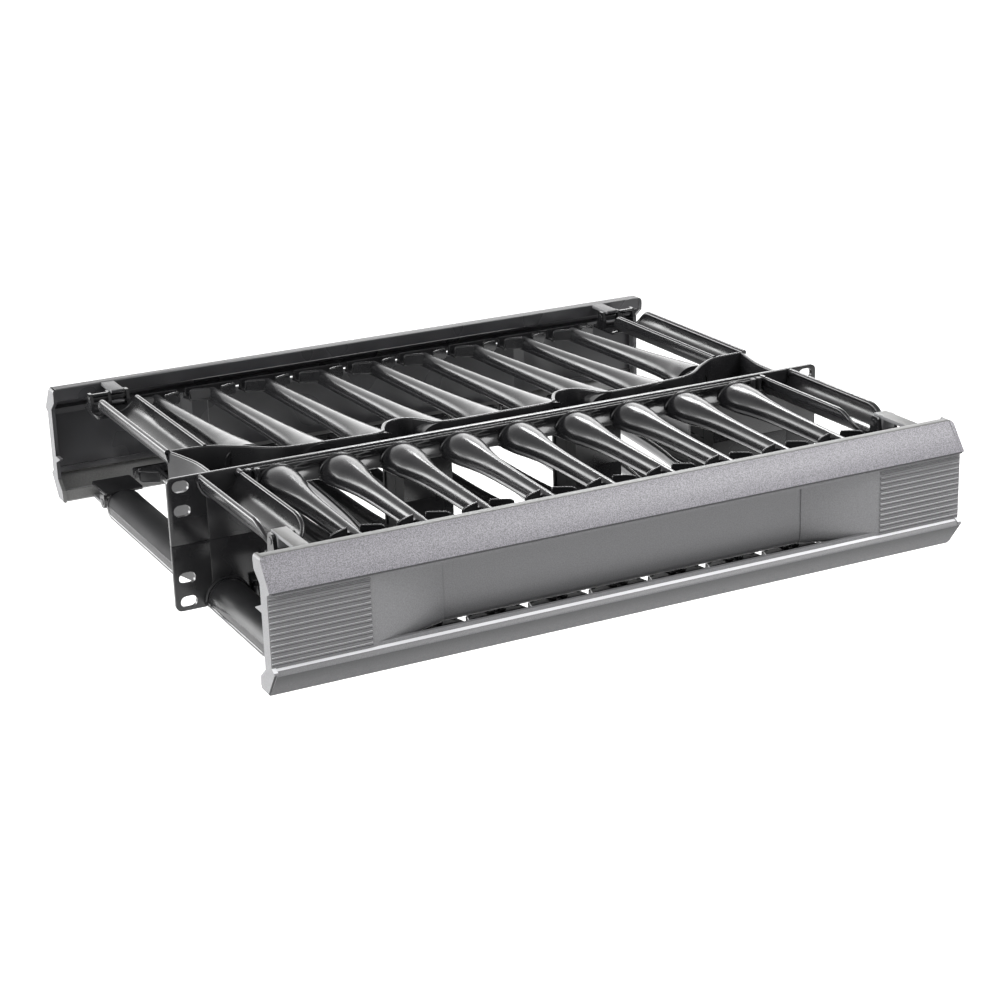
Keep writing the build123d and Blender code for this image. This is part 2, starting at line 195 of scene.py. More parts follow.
def settle(ob):
    """Applies the modifiers."""
    dg = bpy.context.evaluated_depsgraph_get()
    me = bpy.data.meshes.new_from_object(ob.evaluated_get(dg))
    ob.modifiers.clear()
    old = ob.data
    ob.data = me
    bpy.data.meshes.remove(old)


def tidy(ob):
    """Splits the many-cornered faces that the cuts leave, so that none of them folds."""
    bm = bmesh.new()
    bm.from_mesh(ob.data)
    bmesh.ops.dissolve_degenerate(bm, edges=bm.edges, dist=0.00001)
    bmesh.ops.triangulate(bm, faces=[f for f in bm.faces if len(f.verts) > 4])
    bm.to_mesh(ob.data)
    bm.free()


def bevel(ob, width, seg=2, angle=40):
    m = ob.modifiers.new("bevel", "BEVEL")
    m.width, m.segments = width * MM, seg
    m.limit_method, m.angle_limit = "ANGLE", radians(angle)
    m.use_clamp_overlap = True
    settle(ob)
    tidy(ob)


def join(name, obs):
    """One object out of several, faces as they are."""
    v, f, smooth, n = [], [], [], 0
    for o in obs:
        me = o.data
        v += [tuple(q.co) for q in me.vertices]
        f += [tuple(n + i for i in p.vertices) for p in me.polygons]
        n = len(v)
    me = bpy.data.meshes.new(name)
    me.from_pydata(v, [], f)
    me.validate()
    me.polygons.foreach_set("use_smooth", [True] * len(me.polygons))
    me.set_sharp_from_angle(angle=radians(38))
    for o in obs:
        bpy.data.objects.remove(o, do_unlink=True)
    ob = bpy.data.objects.new(name, me)
    bpy.context.scene.collection.objects.link(ob)
    return ob


def mirrored(ob, name):
    me = ob.data.copy()
    me.transform(Matrix.Diagonal((1, 1, -1, 1)))
    me.flip_normals()
    o = bpy.data.objects.new(name, me)
    bpy.context.scene.collection.objects.link(o)
    return o


# ------------------------------------------------------------ fingers
FRONT_FINGER = [(0, 11.0, 30.0, 12.2), (6, 13.3, 30.0, 12.6), (13, 14.2, 30.0, 12.7), (24, 13.0, 29.9, 12.3),
                (38, 9.7, 29.8, 11.2), (54, 7.2, 29.6, 10.2), (75, 5.9, 29.3, 9.4), (105, 5.2, 28.9, 8.8),
                (138, 4.8, 28.4, 8.4)]
REAR_FINGER = [(0, 14.5, 29.5, 12.3), (10, 13.2, 29.4, 12.0), (24, 11.0, 29.0, 11.4), (44, 9.0, 28.3, 10.6),
               (75, 7.4, 27.2, 9.6), (115, 6.3, 25.8, 8.6), (160, 5.6, 24.2, 7.8), (204, 5.0, 22.8, 7.4)]


def finger_section(hw, zc, rise, skirt, bead):
    """Closed section: crown, bevelled bead along each side, shallow skirt and the long channel underneath."""
    right = []
    for a in np.linspace(90, 12, 14):
        right.append((hw * cos(radians(a)), zc + 0.9 + (rise - 0.9) * sin(radians(a))))
    right += [(hw - 0.1, zc + 1.35), (hw + 0.15 * bead, zc + 1.25), (hw + 0.3 * bead, zc + 1.05),
              (hw + 0.98 * bead, zc - 0.25), (hw + 1.1 * bead, zc - 0.5), (hw + 1.05 * bead, zc - 0.75),
              (hw + 0.8 * bead, zc - 0.95)]
    right += [(hw - 0.5, zc - 0.8), (hw - 0.95, zc - 1.2), (hw - 1.1, zc - 1.1 - skirt), (hw - 1.5, zc - 1.4 - skirt),
              (hw - 2.1, zc - 1.4 - skirt), (hw - 2.5, zc - 1.1 - skirt), (hw - 2.65, zc - 0.8)]
    iw, iz, ir = max(hw - 2.8, 0.9), zc - 0.2, rise - 3.0
    for a in np.linspace(0, 80, 7):
        right.append((iw * cos(radians(a)), iz + ir * sin(radians(a))))
    return right + [(0, iz + ir)] + [(-x, z) for x, z in reversed(right[1:])]


def finger(table, y0, direction, length, skirt, bead=1.0):
    s = Shape()
    ds = np.concatenate([np.arange(0, 40, 1.6), np.arange(40, length - 0.1, 4.0), [length]])
    for_rows = pchip(table, ds)
    rings = []
    for d, (hw, zc, rise) in zip(ds, for_rows):
        k = skirt * min(1.0, 0.35 + d / 30)
        rings.append([(x, y0 + direction * d, z) for x, z in finger_section(hw, zc, rise, k, bead)])
    s.rings(rings)
    return s


# ------------------------------------------------------------ front frame, upper half
RIM = [(-3.0, 43.3), (-4.0, 42.7), (-5.2, 42.6), (-6.2, 42.3), (-6.9, 41.4), (-6.8, 40.2), (-6.0, 38.9), (-5.2, 37.4),
       (-4.9, 36.0), (-5.3, 35.0), (-6.1, 34.0), (-8.2, 31.5), (-9.4, 30.7), (-10.4, 30.2), (-10.3, 29.5), (-9.3, 29.0),
       (-3.0, 29.0)]


def rim_strip():
    """Rolled rim along the top; between the bulbs it is hollowed into shallow saddles."""
    s = Shape()
    xs = np.arange(-192, 192.01, 1.0)
    rings = []
    for x in xs:
        rel = abs((x + PITCH / 2) % PITCH - PITCH / 2)
        if abs(x) > 4 * PITCH + 21.3:
            rel = abs(abs(x) - 4 * PITCH)
        near = min(max((21.3 - rel) / 8.3, 0.0), 1.0) ** 2
        ring = []
        for i, (y, z) in enumerate(RIM):
            w = min(max((i - 4) / 4.0, 0.0), 1.0) if i < 16 else 0.0
            ring.append((x, y - 1.15 * near * w, z))
        rings.append(ring)
    s.rings(rings)
    # two fine beads along the top edge
    for y, z, r in ((-0.9, 43.35, 0.6), (-5.9, 42.55, 0.75)):
        s.tube([(x, y, z) for x in np.linspace(-191, 191, 60)], r, 10)
    return s


def front_details():
    s = Shape()
    one = finger(FRONT_FINGER, -3.0, -1, 138, 1.0)
    for x in FX:
        s.merge(one, (x, 0, 0))
        # arch where the bulb leaves the rim
        arch = [(x + 13.9 * cos(a), -7.6 - 1.0 * sin(a), 29.6 + 12.85 * sin(a)) for a in np.linspace(0.0, pi, 30)]
        s.tube(arch, 1.15, 10)
        # rounded starts of the side beads
        for sx in (-1, 1):
            s.ball((x + sx * 14.1, -9.8, 30.0), 1.6)
        pad(s, x, -133.7, 36.6, -1)
    s.merge(rim_strip())
    for sx in (-1, 1):
        post(s, sx, -3.0, -141.0, -97.0, -115.5)
        for dx, y in ((0, -8.6), (-5.4, -9.8)):
            stud = rounded(4.2, 4.2, 2.05, 4, sx * (189.6 + dx), y)
            s.loft_box(stud, 34, 43.6, 0.7, 3)
    return s


def pad(s, x, yc, z, front):
    """Head of a finger: shallow tray with a slanting rim towards the rack and a folded outer lip."""
    def at(u):
        return yc - front * (u - 9.5)
    plan = [(-19.7, 1.4), (-18.7, 0.0), (18.7, 0.0), (19.7, 1.4), (17.7, 9.6), (16.2, 11.2), (5.0, 17.0),
            (-5.0, 17.0), (-16.2, 11.2), (-17.7, 9.6)]
    plan = [(x + a, at(u)) for a, u in (plan if front < 0 else plan[::-1])]
    s.loft_box(plan, z - 7.3, z - 5.6, 0.5, 2)
    # slanting rims, fine and bright along their tops
    for sx in (-1, 1):
        s.tube([(x + sx * 17.6, at(9.6), z - 5.8), (x + sx * 17.0, at(10.4), z + 0.0), (x + sx * 15.6, at(11.2), z + 0.9),
                (x + sx * 10.0, at(13.6), z + 1.1), (x + sx * 4.4, at(16.2), z + 1.2)], [0.5, 0.7, 0.75, 0.75, 0.75], 10)
        fence_pts = [(x + sx * 17.0, at(10.6)), (x + sx * 10.0, at(13.6)), (x + sx * 4.0, at(16.4))]
        n = [np.array((q[0], q[1])) for q in fence_pts]
        rings = []
        for q in n:
            rings.append([(q[0], q[1] - 0.5, z - 6.2), (q[0], q[1] + 0.5, z - 6.2), (q[0], q[1] + 0.5, z + 0.9),
                          (q[0], q[1] - 0.5, z + 0.9)])
        s.rings(rings)
    # folded lip at the outer end
    s.loft_box(rounded(36.4, 1.8, 0.8, 2, x, at(1.2)), z - 7.3, z + 0.2, 0.4, 2)
    for sx in (-1, 1):
        s.tube([(x + sx * 18.4, at(1.6), z - 2.2), (x + sx * 18.4, at(1.6), z - 5.6)], 1.1, 8)
        # knobs beside the notch to the next head
        s.ball((x + sx * 16.2, at(7.6), z - 7.4), 1.4, 7)
    # small moulded ribs on both faces of the tray
    for sx, w in ((-1, 5.2), (0, 3.4), (1, 4.6)):
        for u, dz in ((4.6, -7.4), (7.4, -7.4), (5.2, -5.5), (8.0, -5.5)):
            s.tube([(x + sx * 4.6 - w / 2 + 1.0, at(u + 0.4 * sx), z + dz), (x + sx * 4.6 + w / 2 - 1.0, at(u + 0.6), z + dz)], 0.6, 8)


def post(s, sx, y0, y1, drop0, drop1):
    """End post: half pipe, open at the top, with rolled rails that sink towards the cover."""
    sign = 1 if y1 > y0 else -1
    ys = list(np.linspace(y0, drop0, 24)) + list(np.linspace(drop0, drop1, 20)[1:])

    def rail_z(y):
        t = (y - drop0) / (drop1 - drop0)
        if t <= 0:
            return 41.9
        return 41.9 - 13.1 * (0.15 * t + 0.85 * t ** 2.4)
    xc = sx * POST_X
    rings = []
    for y in ys:
        top = min(rail_z(y), 41.4)
        a1 = np.arcsin(max(min((41.0 - top) / 12.5, 1), -0.05))
        ring = []
        angles = np.linspace(pi + a1, 2 * pi - a1, 26)
        for a in angles:
            ring.append((xc + 13.9 * cos(a), y, 41.0 + 13.9 * sin(a)))
        for a in reversed(angles):
            ring.append((xc + 11.4 * cos(a), y, 41.0 + 11.4 * sin(a)))
        rings.append(ring)
    s.rings(rings)
    for side in (-1, 1):
        path = []
        for y in ys:
            z = rail_z(y)
            h = max(min((41.0 - z) / 12.65, 1.0), 0.0)
            path.append((xc + side * 12.65 * sqrt(1 - h * h), y, z))
        outer = side == sx
        s.tube(path, 2.0 if outer else 1.5, 14)
        # flare where the rail leaves the plate
        if sign < 0:
            s.tube([(xc + side * 12.65, y0 - 0.2, 40.9), (xc + side * 12.65, y0 - 3.0, 41.4),
                    (xc + side * 12.65, y0 - 7.0, 41.8)], [2.9, 2.4, 1.95], 14)
    # flat seat under the hinge clip
    yc, d = (drop1 - 3 * sign + y1) / 2, abs(y1 - drop1) + 3
    s.loft_box(rounded(28.6, d, 1.5, 3, xc, yc), 26.9, 29.0, 0.4, 2)
    # root ring on the plate
    if sign < 0:
        ring = [(xc + 14.4 * cos(a), y0 - 0.9, 41.0 + 14.4 * sin(a)) for a in np.linspace(pi, 2 * pi, 30)]
        s.tube(ring, 1.1, 8)


def front_plate():
    out = [(-241.3, 0.03), (241.3, 0.03)]
    for cx, a0 in ((237.3, 0), (-237.3, 90)):
        for i in range(7):
            a = radians(a0 + 15 * i)
            out.append((cx + 4 * cos(a), 40 + 4 * sin(a)))
    ob = slab("plate", out, "y", -3.0, 0.0)
    bevel(ob, 0.35, 2, 50)
    proud = slab("proud", [(-216.5, 0.03), (216.5, 0.03), (216.5, 43.95), (-216.5, 43.95)], "y", -3.5, -1.0)
    bevel(proud, 0.3, 2, 50)
    col = slab("col", rounded(2 * 159, 64, 7, 4, 0, 0), "y", -1.0, 9.5)
    low = slab("low", [(-300, -60), (300, -60), (300, 0.03), (-300, 0.03)], "y", -20, 20)
    boolean(col, [low])
    low = [slab("gap%d" % k, rounded(29.4, 84, 3, 3, k * 63.9, 0), "y", 0.0, 20) for k in (-1, 1)]
    boolean(col, low)
    boolean(ob, [proud, col], "UNION")
    cut = [slab("hole%d" % k, rounded(w, 58, 5, 5, c, 0), "y", -20, 20)
           for k, (c, w) in enumerate(((0, 92.6), (-118.8, 74.4), (118.8, 74.4)))]
    for sx in (-1, 1):
        for z in (38.1, 22.225):
            cut.append(slab("slot", rounded(11.0, 7.6, 3.79, 6, sx * 232.55, z), "y", -20, 20))
    boolean(ob, cut)
    tidy(ob)
    return ob


# ------------------------------------------------------------ rear frame, upper half
WALL = [(0.0, 20.5), (34.0, 20.8), (44.0, 23.5), (48.5, 31.0), (54.5, 39.5), (63.9, 43.0), (73.3, 39.5),
        (79.3, 31.0), (83.8, 23.5), (96.0, 21.5), (134.0, 24.0), (156.0, 28.0), (176.0, 44.5), (194.0, 55.5),
        (218.6, 58.0)]
END_WALL = [(218.6, 58.0), (214.4, 42.0), (211.2, 26.0), (210.6, 12.0), (210.6, 0.2)]


def fence(name, line, top=42.5, half=1.3):
    """Wall of even thickness on a plan line, with a rounded top edge."""
    p = np.array(line, float)
    t = np.gradient(p, axis=0)
    t /= np.linalg.norm(t, axis=1)[:, None]
    n = np.c_[-t[:, 1], t[:, 0]]
    prof = [(-half, 0.03), (half, 0.03)] + [(half - 0.9 + 0.9 * cos(a), top - 0.9 + 0.9 * sin(a)) for a in np.linspace(0, pi / 2, 4)] \
        + [(-half + 0.9 - 0.9 * sin(a), top - 0.9 + 0.9 * cos(a)) for a in np.linspace(0, pi / 2, 4)]
    s = Shape()
    s.rings([[(q[0] + m[0] * o, q[1] + m[1] * o, z) for o, z in prof] for q, m in zip(p, n)])
    return s.object(name)


def rear_walls():
    half = [(-x, y) for x, y in reversed(WALL)] + WALL[1:]
    wall = fence("wall", catmull(half, 10))
    cut = [slab("hole%d" % k, rounded(w, 58, 5, 5, c, 0), "y", 2, 32)
           for k, (c, w) in enumerate(((0, 92.6), (-118.8, 74.4), (118.8, 74.4)))]
    boolean(wall, cut)
    out = [wall]
    for k, (c, w) in enumerate(((0, 92.6), (-118.8, 74.4), (118.8, 74.4))):
        box = slab("tunnel", rounded(w + 5.2, 63.2, 7, 5, c, 0), "y", 9.5, 27.0)
        boolean(box, [slab("in", rounded(w, 58, 5, 5, c, 0), "y", 5, 32),
                      slab("below", [(-300, -60), (300, -60), (300, 0.03), (-300, 0.03)], "y", -20, 60)])
        bevel(box, 0.35, 1, 50)
        out.append(box)
    for sx in (-1, 1):
        out.append(fence("end", catmull([(sx * x, y) for x, y in END_WALL], 8)))
    return out


def rear_details():
    s = Shape()
    one = finger(REAR_FINGER, 20.5, 1, 204, 0.9, 0.25)
    end = finger(REAR_FINGER, 46.0, 1, 178.5, 0.9, 0.25)
    for x in FX:
        s.merge(end if abs(x) > 160 else one, (x, 0, 0))
        pad(s, x, 223.7, 30.2, 1)
    for sx in (-1, 1):
        post(s, sx, 56.0, 231.0, 190.0, 203.0)
    return s




# ------------------------------------------------------------ covers (depth u from the lip plane along +Y)
LIP = [(5.4, 19.5), (5.4, 23.0), (0.7, 22.9), (0.1, 23.3), (0.0, 24.4), (0.4, 25.3), (13.2, 42.1), (14.2, 42.5), (18.6, 42.5),
       (20.0, 41.2), (20.0, 34.0), (19.4, 33.4), (18.0, 33.4), (17.6, 34.0), (17.6, 39.9), (15.0, 39.9), (3.6, 25.4),
       (7.6, 23.4), (7.6, 19.5)]
FOOT = [(4.2, 20.0), (4.2, 22.4), (2.3, 23.5), (1.0, 24.5), (0.2, 25.4), (0.0, 26.1), (0.4, 26.9), (12.2, 42.1), (13.2, 42.5), (21.8, 42.5),
        (22.3, 42.0), (22.3, 34.0), (21.6, 33.4), (20.2, 33.4), (19.8, 34.0), (19.8, 39.9), (14.3, 39.9), (4.2, 26.0),
        (6.8, 24.2), (6.8, 20.0)]
CAP = [(4.0, 19.0), (4.0, 22.0), (0.5, 23.8), (0.0, 24.5), (0.3, 25.3), (12.6, 42.1), (13.6, 42.5), (21.2, 42.5),
       (22.3, 41.6), (23.0, 38.0), (22.3, 32.8), (18.2, 29.4), (14.2, 26.2), (14.0, 19.0)]
RIB_X, PANEL_X = 177.7, 126.4


def panel_u(x):
    """Depth of the wall behind the lip plane: flat ends, curved shoulders, crease, flat panel."""
    t = min(max((RIB_X - abs(x)) / (RIB_X - PANEL_X), 0.0), 1.0)
    return 4.0 + 13.0 * (t ** 1.35)


def cover_body():
    s = Shape()
    side = [PANEL_X + 0.02, PANEL_X + 0.6, PANEL_X + 1.6] + list(np.linspace(PANEL_X + 3, RIB_X + 0.5, 34))
    xs = sorted(set([-239.0, 239.0] + side + [-x for x in side] + list(np.linspace(-PANEL_X, PANEL_X, 15))))
    rings = []
    for x in xs:
        u = panel_u(x)
        if abs(x) <= PANEL_X:
            u += 0.7
        r = 5.0 * min(max((u - 5.0) / 8.0, 0.0), 1.0)
        zb = -22.8 - 0.8 * min(max((u - 5.0) / 8.0, 0.0), 1.0)
        ring = [(x, u, z) for z in (22.3, 8.0, -6.0, zb + r)]
        if r > 0.05:
            ring += [(x, u + r * (1 - cos(a)), zb + r - r * sin(a)) for a in np.linspace(0.2, 1.35, 6)]
            ring += [(x, u + r * 1.0 + 0.6, zb + 0.5)]
        else:
            ring += [(x, u, zb + 0.001 * k) for k in range(6, 0, -1)] + [(x, u + 1.2, zb)]
        ring += [(x, u + 2.6, -19.5), (x, u + 2.6, 22.3)]
        rings.append(ring)
    s.rings(rings)
    # fine ridges on both ends
    for i in range(12):
        z = -19.9 + 3.56 * i
        for sx in (-1, 1):
            xs2 = [240.9, 240.4, 236, 210, 184, 180.4, 178.6, 178.0]
            s.tube([(sx * x, 3.8, z) for x in xs2], [0.45, 0.75, 0.85, 0.85, 0.85, 1.05, 1.05, 0.4], 12)
    return s


def cover(name):
    shell = slab("lip", [(u, z) for u, z in LIP], "x", -240.0, 240.0)
    parts = [slab("lip2", [(u, -z) for u, z in FOOT], "x", -240.0, 240.0)]
    for x in (-241.3, 238.7):
        pts = CAP + [(14.0, 13.4), (23.6, 9.2), (23.6, 8.6), (14.0, 8.6)] + [(u, -z) for u, z in CAP[::-1]]
        parts.append(slab("cap", pts, "x", x, x + 2.6))
    boolean(shell, parts, "UNION")
    boolean(shell, [slab("c", rounded(482.6, 85.0, 2.6, 5), "y", -20, 80)], "INTERSECT")
    bevel(shell, 0.35, 2, 30)
    parts = [shell, cover_body().object("body", 30)]
    for s, tab, x0 in ((1, 31.0, 213.0), (-1, 24.0, 201.0)):
        for sx in (-1, 1):
            yp = 22.3 + tab - 4.6
            seat = [(yp + 2.58 * cos(a), 37.0 + 2.58 * sin(a)) for a in np.linspace(-pi / 2, -3 * pi / 2, 13)]
            pts = [(22.3 + tab, 40.3), (22.3 + tab, 41.9), (22.3 + tab - 0.6, 42.48), (18.8, 42.48), (18.8, 40.1),
                   (yp - 6.0, 40.1), (yp - 5.4, 33.6), (yp - 2.6, 31.5), (yp + 2.6, 31.5), (yp + 3.6, 32.8),
                   (yp + 3.2, 33.9)] + seat
            ob = slab("tab", [(u, s * z) for u, z in pts], "x", sx * x0 - 4.8, sx * x0 + 4.8)
            bevel(ob, 0.25, 2, 50)
            parts.append(ob)
    return join(name, parts)


def place(ob, name, m):
    me = ob.data.copy()
    me.transform(m)
    o = bpy.data.objects.new(name, me)
    bpy.context.scene.collection.objects.link(o)
    return o


# ------------------------------------------------------------ build
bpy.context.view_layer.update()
front = join("front_upper", [front_details().object("d"), front_plate()])
rear = join("rear_upper", [rear_details().object("d")] + rear_walls())
pieces = {
    "front_upper_shell": (front, "front_upper_frame"),
    "front_lower_shell": (mirrored(front, "front_lower"), "front_lower_frame"),
    "rear_upper_shell": (rear, "rear_upper_frame"),
    "rear_lower_shell": (mirrored(rear, "rear_lower"), "rear_lower_frame"),
}
body = cover("cover")
front_at = Matrix.Translation((0, -0.170, 0))
rear_at = Matrix.Translation((0, 0.260, 0)) @ Matrix.Rotation(pi, 4, "X")


# ------------------------------------------------------------ materials
def nodes(name):
    m = bpy.data.materials.new(name)
    m.use_nodes = True
    nt = m.node_tree
    return m, nt, nt.nodes["Principled BSDF"]


def noise(nt, scale, detail=3.0, rough=0.55):
    tc = nt.nodes.new("ShaderNodeTexCoord")
    n = nt.nodes.new("ShaderNodeTexNoise")
    n.inputs["Scale"].default_value = scale
    n.inputs["Detail"].default_value = detail
    n.inputs["Roughness"].default_value = rough
    nt.links.new(tc.outputs["Object"], n.inputs["Vector"])
    return n


def ramp(nt, src, a, b, lo=0.35, hi=0.65):
    r = nt.nodes.new("ShaderNodeMapRange")
    r.inputs["From Min"].default_value, r.inputs["From Max"].default_value = lo, hi
    r.inputs["To Min"].default_value, r.inputs["To Max"].default_value = a, b
    nt.links.new(src.outputs["Fac"], r.inputs["Value"])
    return r


def tint(nt, bsdf, src, dark, light, lo=0.35, hi=0.65):
    r = nt.nodes.new("ShaderNodeValToRGB")
    r.color_ramp.elements[0].position, r.color_ramp.elements[1].position = lo, hi
    r.color_ramp.elements[0].color = (*dark, 1)
    r.color_ramp.elements[1].color = (*light, 1)
    nt.links.new(src.outputs["Fac"], r.inputs["Fac"])
    nt.links.new(r.outputs["Color"], bsdf.inputs["Base Color"])


def bump(nt, bsdf, src, strength, distance):
    b = nt.nodes.new("ShaderNodeBump")
    b.inputs["Strength"].default_value = strength
    b.inputs["Distance"].default_value = distance
    nt.links.new(src.outputs["Fac"], b.inputs["Height"])
    nt.links.new(b.outputs["Normal"], bsdf.inputs["Normal"])


def gloss_black():
    m, nt, b = nodes("moulded_black_gloss")
    tint(nt, b, noise(nt, 35, 2), (0.011, 0.011, 0.012), (0.018, 0.018, 0.019))
    r = ramp(nt, noise(nt, 60, 4), 0.17, 0.26)
    nt.links.new(r.outputs["Result"], b.inputs["Roughness"])
    return m


def satin_grey():
    m, nt, b = nodes("moulded_grey_satin")
    tint(nt, b, noise(nt, 1800, 3), (0.150, 0.150, 0.154), (0.205, 0.205, 0.212))
    r = ramp(nt, noise(nt, 1500, 2), 0.40, 0.50)
    nt.links.new(r.outputs["Result"], b.inputs["Roughness"])
    bump(nt, b, noise(nt, 2200, 2), 0.10, 0.0001)
    return m


def speckled_grey():
    m, nt, b = nodes("textured_grey_lip")
    tint(nt, b, noise(nt, 1500, 2, 0.7), (0.15, 0.146, 0.158), (0.34, 0.33, 0.36), 0.38, 0.62)
    r = ramp(nt, noise(nt, 1300, 2), 0.36, 0.5)
    nt.links.new(r.outputs["Result"], b.inputs["Roughness"])
    bump(nt, b, noise(nt, 1700, 2, 0.7), 0.25, 0.00015)
    return m


# Cover grey darkened to near black: painted shade inside the covers and a painted shadow line under the upper lip.
def inside_shade_grey():
    m, nt, b = nodes("grey_painted_shade_inside")
    tint(nt, b, noise(nt, 40, 2), (0.034, 0.034, 0.036), (0.038, 0.038, 0.041))
    r = ramp(nt, noise(nt, 30, 1), 0.27, 0.30)
    nt.links.new(r.outputs["Result"], b.inputs["Roughness"])
    return m


# Cover grey made near white: painted highlight along the lower ledge and on the tops of the end ridges.
def ledge_highlight_grey():
    m, nt, b = nodes("grey_painted_highlight_ledge")
    tint(nt, b, noise(nt, 30, 1), (0.78, 0.78, 0.80), (0.84, 0.84, 0.86))
    r = ramp(nt, noise(nt, 20, 1), 0.24, 0.27)
    nt.links.new(r.outputs["Result"], b.inputs["Roughness"])
    return m


# Cover grey made very dark: painted shade on the down-facing lower lip, under the end ridges and on the rear cover's
# top strip.
def foot_shade_grey():
    m, nt, b = nodes("grey_painted_shade_foot")
    b.inputs["Specular IOR Level"].default_value = 0.25
    tint(nt, b, noise(nt, 1800, 3), (0.044, 0.044, 0.046), (0.060, 0.060, 0.063))
    r = ramp(nt, noise(nt, 1500, 2), 0.40, 0.50)
    nt.links.new(r.outputs["Result"], b.inputs["Roughness"])
    return m


def matt_black():
    m, nt, b = nodes("moulded_black_matt")
    b.inputs["Specular IOR Level"].default_value = 0.15
    tint(nt, b, noise(nt, 60, 2), (0.012, 0.012, 0.013), (0.016, 0.016, 0.017))
    r = ramp(nt, noise(nt, 60, 2), 0.55, 0.62)
    nt.links.new(r.outputs["Result"], b.inputs["Roughness"])
    return m


def satin_black():
    m, nt, b = nodes("moulded_black_satin")
    b.inputs["Specular IOR Level"].default_value = 0.35
    tint(nt, b, noise(nt, 50, 2), (0.012, 0.012, 0.013), (0.018, 0.018, 0.019))
    r = ramp(nt, noise(nt, 50, 2), 0.40, 0.46)
    nt.links.new(r.outputs["Result"], b.inputs["Roughness"])
    return m


# Cover grey made darker: painted shade on the front cover's top flange, and a lighter band of painted shade low inside
# the rear cover.
def half_shade_grey():
    m, nt, b = nodes("grey_painted_half_shade")
    tint(nt, b, noise(nt, 900, 3), (0.100, 0.100, 0.098), (0.130, 0.130, 0.127))
    r = ramp(nt, noise(nt, 900, 2), 0.42, 0.52)
    nt.links.new(r.outputs["Result"], b.inputs["Roughness"])
    return m


BLACK, GREY, SPECK = gloss_black(), satin_grey(), speckled_grey()
MATT, SATIN = matt_black(), satin_black()
INSIDE_SHADE, LEDGE_HIGHLIGHT, HALF_SHADE, FOOT_SHADE = inside_shade_grey(), ledge_highlight_grey(), half_shade_grey(), foot_shade_grey()


def dress(ob, mat):
    ob.data.materials.clear()
    ob.data.materials.append(mat)


for name, (ob, node) in pieces.items():
    ob.name = name
    dress(ob, BLACK)
    ob.data.materials.append(MATT)
    ob.data.materials.append(SATIN)
    for p in ob.data.polygons:
        if (p.center.y > 0.06 or p.center.y < -0.006) and abs(p.center.x) > 0.192 and abs(p.center.z) < 0.0365 \
                and p.normal.z * p.center.z < 0:
            p.material_index = 1 if p.center.y > 0 else 2
        elif -0.005 < p.center.y < 0.028 and abs(p.normal.x) > 0.8 and abs(p.center.z) < 0.0285 and abs(p.center.x) < 0.16:
            p.material_index = 1
        if p.center.y < -0.1255 and abs(p.center.x) < 0.192 and abs(p.center.z) < 0.0315 and abs(p.normal.z) > 0.8:
            p.material_index = 1
    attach(ob, "frame")
    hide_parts(node)
for who, at in (("front", front_at), ("rear", rear_at)):
    ob = place(body, who + "_cover_shell", at)
    dress(ob, GREY)
    for mat in (SPECK, INSIDE_SHADE, LEDGE_HIGHLIGHT, HALF_SHADE, FOOT_SHADE):
        ob.data.materials.append(mat)
    up = 1 if who == "front" else -1
    y0 = -0.170 if who == "front" else 0.260
    for p in ob.data.polygons:
        n, z = p.normal, p.center.z
        u = (p.center.y - y0) * up
        if abs(n.x) > 0.8:
            continue
        if n.y * up < -0.5 and n.z * up > 0.3 and z * up > 0.024 and u < 0.0145:
            p.material_index = 1
        # painted highlight along the lower ledge
        elif n.y * up < -0.3 and n.z * up > 0.5 and -0.0236 < z * up < -0.0218 and u < 0.0048:
            p.material_index = 3
        # painted highlight on the tops of the end ridges
        elif abs(p.center.x) > 0.1785 and u < 0.0040 and abs(z) < 0.0212 and n.z * up > 0.75:
            p.material_index = 3
        # painted shade under the end ridges
        elif abs(p.center.x) > 0.1775 and u < 0.0042 and abs(z) < 0.0212 and n.z * up < -0.2:
            p.material_index = 5
        # painted shadow line under the upper lip
        elif n.y * up < -0.1 and 0.0228 < z * up < 0.0244 and u < 0.0011:
            p.material_index = 2
        # painted shade on the down-facing front of the lower lip
        elif n.y * up < -0.3 and n.z * up < -0.3 and z * up < -0.0256 and u < 0.0145:
            p.material_index = 5
        # painted shade on the inside faces, with a lighter painted band low in the rear cover
        elif n.y * up > 0.4:
            p.material_index = 4 if who == "rear" and z < -0.0235 else 2
        # painted shade on the flat top and bottom strips, darker on the rear cover
        elif abs(n.z) > 0.8 and abs(z) > 0.041:
            p.material_index = 4 if who == "front" else 5
    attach(ob, who + "_cover")
    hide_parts(who + "_cover")
bpy.data.objects.remove(body, do_unlink=True)
for name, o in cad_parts.items():
    if "hinge" in name:
        dress(o, BLACK)


# ------------------------------------------------------------ camera, floor, light
def camera():
    az, pitch, roll = radians(26.746), radians(19.016), radians(-1.777)
    f = Vector((sin(az) * cos(pitch), cos(az) * cos(pitch), -sin(pitch)))
    r = f.cross(Vector((0, 0, 1))).normalized()
    u = r.cross(f)
    r2 = cos(roll) * r + sin(roll) * u
    u2 = -sin(roll) * r + cos(roll) * u
    cam = bpy.data.cameras.new("camera")
    cam.sensor_width = 36.0
    cam.sensor_fit = "HORIZONTAL"
    cam.lens = 2252.99 * 36 / 1000
    cam.clip_start, cam.clip_end = 0.05, 30
    ob = bpy.data.objects.new("camera", cam)
    bpy.context.scene.collection.objects.link(ob)
    m = Matrix((r2, u2, -f)).transposed().to_4x4()
    m.translation = Vector((-0.65092, -1.27149, 0.47831))
    ob.matrix_world = m
    bpy.context.scene.camera = ob


camera()
bpy.context.scene.view_settings.view_transform = "Standard"

